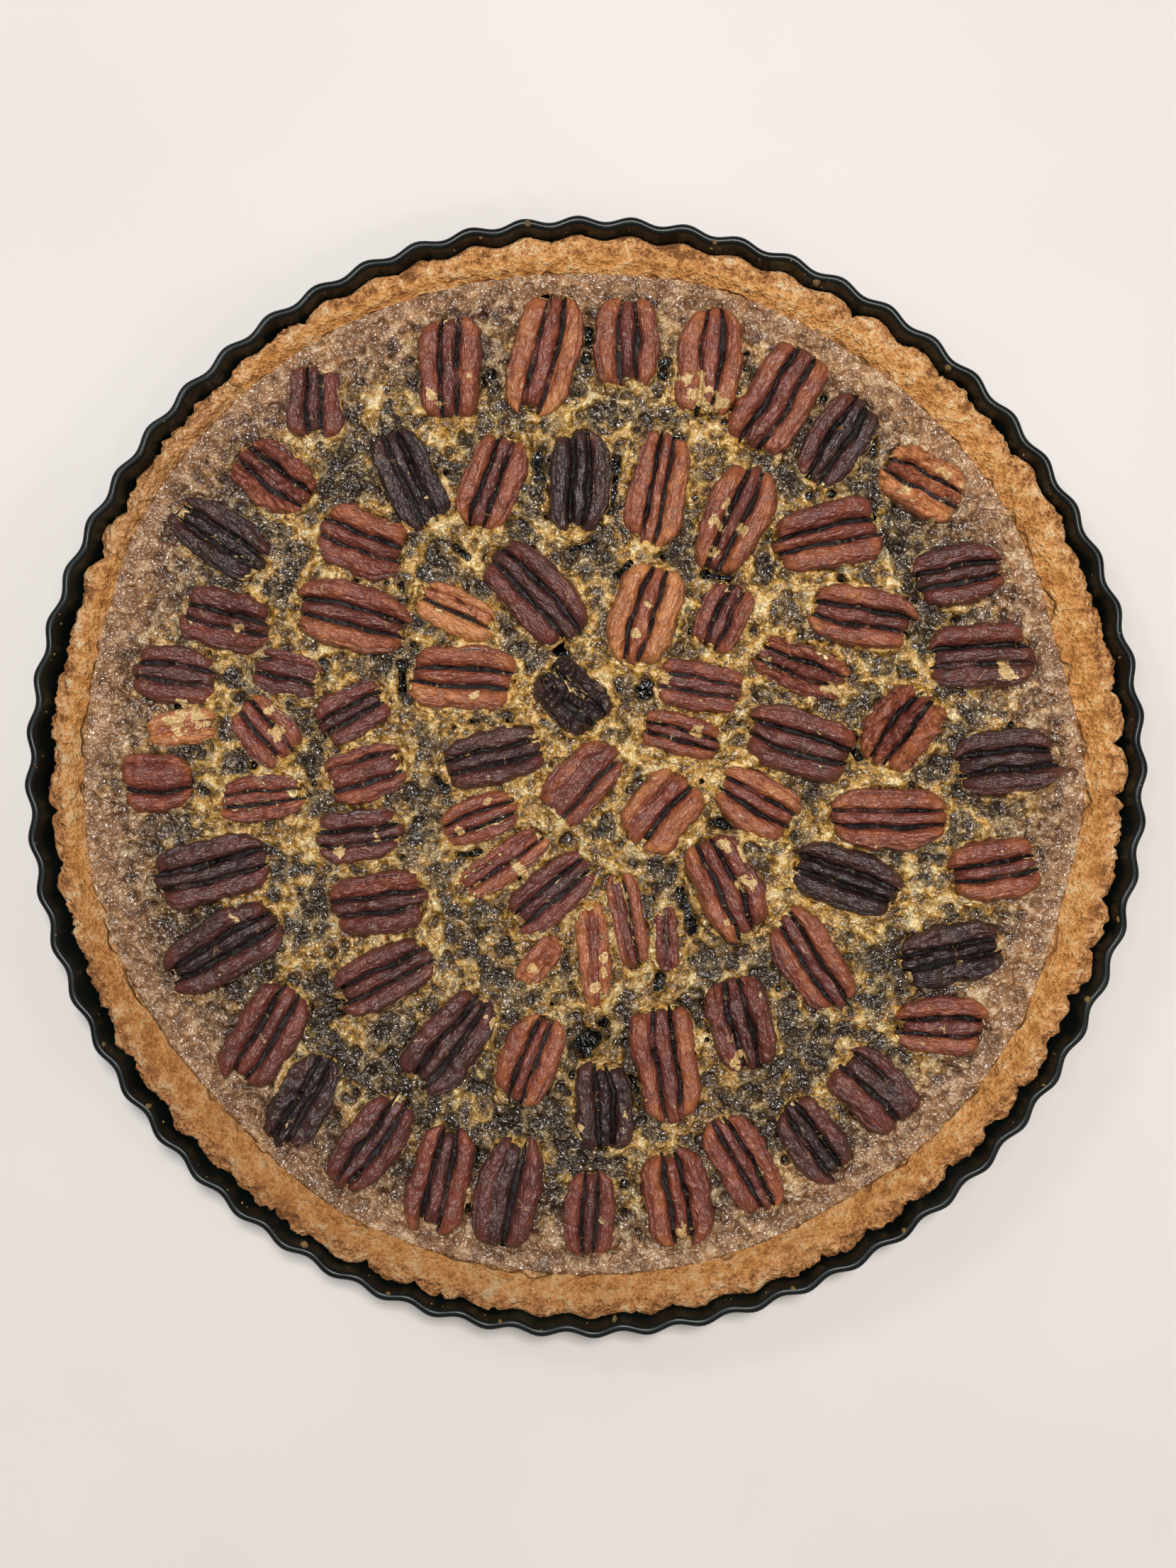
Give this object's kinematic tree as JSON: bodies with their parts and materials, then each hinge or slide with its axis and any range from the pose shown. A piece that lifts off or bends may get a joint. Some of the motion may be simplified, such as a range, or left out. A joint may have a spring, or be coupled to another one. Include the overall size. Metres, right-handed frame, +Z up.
{
  "type": "pecan pie",
  "caption": "Whole round nut tart in a shallow fluted dark metal tin: golden crust rim, lumpy set custard filling and rings of pecan halves on top.",
  "frame": {"origin": "middle of the tin's flat underside", "axes": "+Z up out of the pie, +X and +Y across it"},
  "size_m": [0.2836, 0.2836, 0.028],
  "materials": {
    "tin": "black non-stick coated sheet steel, satin, rim rolled into a bead",
    "crust": "baked shortcrust, golden tan, dry and crumbly",
    "filling": "set brown sugar custard, baked, lumpy, with a glossy sugar skin and golden foam",
    "pecan": "roasted pecan halves, ridged, satin"
  },
  "bodies": {
    "root": {"tin": "tin", "crust": "crust", "filling": "filling", "pecan_02": "pecan", "pecan_03": "pecan", "pecan_04": "pecan", "pecan_10": "pecan", "pecan_11": "pecan", "pecan_12": "pecan", "pecan_13": "pecan", "pecan_14": "pecan", "pecan_16": "pecan", "pecan_17": "pecan", "pecan_19": "pecan", "pecan_20": "pecan", "pecan_21": "pecan", "pecan_22": "pecan", "pecan_23": "pecan", "pecan_24": "pecan", "pecan_25": "pecan", "pecan_26": "pecan", "pecan_27": "pecan", "pecan_28": "pecan", "pecan_29": "pecan", "pecan_30": "pecan", "pecan_31": "pecan", "pecan_32": "pecan", "pecan_33": "pecan", "pecan_38": "pecan", "pecan_39": "pecan", "pecan_40": "pecan", "pecan_41": "pecan", "pecan_42": "pecan", "pecan_43": "pecan", "pecan_44": "pecan", "pecan_45": "pecan", "pecan_46": "pecan", "pecan_47": "pecan", "pecan_48": "pecan", "pecan_49": "pecan", "pecan_50": "pecan", "pecan_52": "pecan", "pecan_53": "pecan", "pecan_54": "pecan", "pecan_55": "pecan", "pecan_56": "pecan", "pecan_57": "pecan", "pecan_58": "pecan", "pecan_63": "pecan", "pecan_64": "pecan", "pecan_65": "pecan", "pecan_66": "pecan", "pecan_67": "pecan", "pecan_68": "pecan", "pecan_69": "pecan", "pecan_70": "pecan", "pecan_71": "pecan", "pecan_72": "pecan", "pecan_73": "pecan", "pecan_76": "pecan"}
  },
  "joints": []
}
